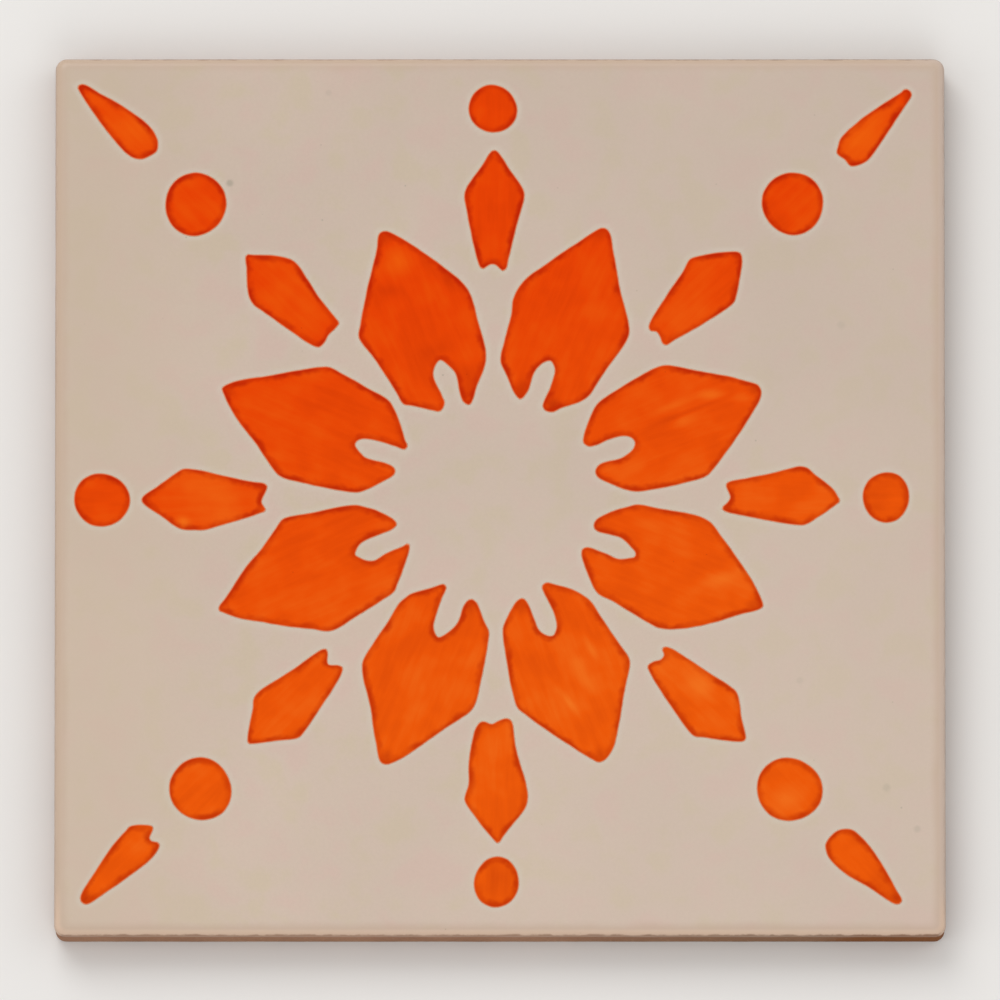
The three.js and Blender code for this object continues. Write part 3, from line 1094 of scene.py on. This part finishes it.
def triangulate(points, rim_count):
    """Triangles that fill the closed rim made by the first points."""
    scaled = [Vector(point / MM) for point in points]
    result = delaunay_2d_cdt(scaled, [], [list(range(rim_count))], 1, MERGE_LIMIT)
    originals = [sources[0] for sources in result[3]]
    return [tuple(originals[vertex] for vertex in face) for face in result[2]]


def patch_strength(points):
    """How much thinner the paint lies at each place, from the list of patches."""
    total = np.zeros(len(points))
    for x, y, half_length, half_width, turn, strength in PAINT_PATCHES:
        offset = points - np.array(on_tile((x, y)))
        angle = math.radians(turn)
        along = offset[:, 0] * math.cos(angle) + offset[:, 1] * math.sin(angle)
        across = offset[:, 1] * math.cos(angle) - offset[:, 0] * math.sin(angle)
        reach = (along / (half_length * PIXEL)) ** 2 + (across / (half_width * PIXEL)) ** 2
        total += strength * np.exp(-reach)
    return total


def make_motif(name, outline, finish, seed):
    """One stencilled motif: a thin film of paint, proud of the glaze and rooted in it."""
    outline = hand_cut(outline)
    rim_count = len(outline)
    inner = inner_points(outline)
    plan = np.vstack([outline, inner])
    away, _ = distances(inner, outline)
    from_rim = np.concatenate([np.zeros(rim_count), away])
    rise = PAINT_RISE * smoothstep(from_rim, 0, PAINT_FEATHER)
    rise += PAINT_RIM_RISE * np.exp(-(((from_rim - PAINT_RIM) / PAINT_RIM_WIDTH) ** 2))
    rise -= PAINT_ROOT * (from_rim == 0)
    surface = glaze_height(plan)
    top = np.column_stack([plan, surface + rise])
    bottom = np.column_stack([outline, surface[:rim_count] - PAINT_DEPTH])
    vertices = np.vstack([top, bottom])
    faces = triangulate(plan, rim_count)
    shown_count = len(faces)
    first_below = len(top)
    for a, b, c in triangulate(outline, rim_count):
        faces.append((first_below + a, first_below + c, first_below + b))
    for i in range(rim_count):
        j = (i + 1) % rim_count
        faces.append((i, first_below + i, first_below + j, j))
    hidden = [False] * shown_count + [True] * (len(faces) - shown_count)
    flat = vertices[:, :2]
    piece = new_piece(name, vertices, faces, flat, hidden, finish)

    centre = outline.mean(axis=0)
    outward = centre - np.array(on_tile(PHOTO_ROSETTE_CENTRE))
    outward /= np.linalg.norm(outward)
    offset = flat - centre
    along = offset @ outward
    across = offset @ np.array([-outward[1], outward[0]])
    stroke = piece.data.attributes.new("stroke", "FLOAT_VECTOR", "POINT")
    columns = np.column_stack([along, across, np.full(len(along), seed * STROKE_SHIFT)])
    stroke.data.foreach_set("vector", columns.astype(np.float32).ravel())
    padding = np.zeros(rim_count)
    set_attribute(piece, "rim_mm", np.concatenate([from_rim, padding]) / MM)
    set_attribute(piece, "thin", patch_strength(flat))
    return piece


def dot_outline(x, y, half_width, half_height, seed):
    """A round dot that was not cut quite true."""
    points = []
    for step in range(DOT_POINTS):
        angle = 2 * math.pi * step / DOT_POINTS
        uneven = 1
        for waves, turn, height in DOT_WAVES:
            uneven += height * math.sin(waves * angle + turn * seed)
        points.append((
            x + half_width * uneven * math.cos(angle),
            y + half_height * uneven * math.sin(angle),
        ))
    return points


def motif_outlines():
    """Every motif's smooth outline on the tile, by name."""
    rings = {name: drawn_in(ring, PETAL_SOFT_EDGE) for name, ring in PETALS.items()}
    for name, ring in LOZENGES_AND_DROPS.items():
        rings[name] = drawn_in(ring, SOFT_EDGE)
    for seed, (name, dot) in enumerate(DOTS.items()):
        rings[name] = dot_outline(*dot, seed)
    return {
        name: smooth_outline([on_tile(point) for point in ring]) for name, ring in rings.items()
    }


def paint_halo(outlines):
    """A function that says how near each place is to paint: 1 beside it, 0 clear of it."""
    def halo_at(plan):
        nearest = np.full(len(plan), np.inf)
        for outline in outlines.values():
            low, high = outline.min(axis=0) - HALO_REACH, outline.max(axis=0) + HALO_REACH
            near = np.all((plan > low) & (plan < high), axis=1)
            away, _ = distances(plan[near], outline)
            nearest[near] = np.minimum(nearest[near], away)
        return 1 - smoothstep(nearest, HALO_START, HALO_REACH)

    return halo_at


def make_floor():
    """The pale floor that the tile lies on."""
    mesh = bpy.data.meshes.new("floor")
    signs = ((-1, -1), (1, -1), (1, 1), (-1, 1))
    corners = [(x * FLOOR_HALF_SIDE, y * FLOOR_HALF_SIDE, 0) for x, y in signs]
    mesh.from_pydata(corners, [], [(0, 1, 2, 3)])
    mesh.materials.append(floor_finish())
    floor = bpy.data.objects.new("floor", mesh)
    bpy.context.collection.objects.link(floor)


make_camera()
make_lights()
make_floor()

outlines = motif_outlines()
body = make_clay(clay_finish())
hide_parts("tile")
skin = make_glaze(glaze_finish(), paint_halo(outlines))
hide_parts("tile")
paint = paint_finish()
for seed, (name, outline) in enumerate(outlines.items()):
    motif = make_motif(name, outline, paint, seed)
    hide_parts("tile")
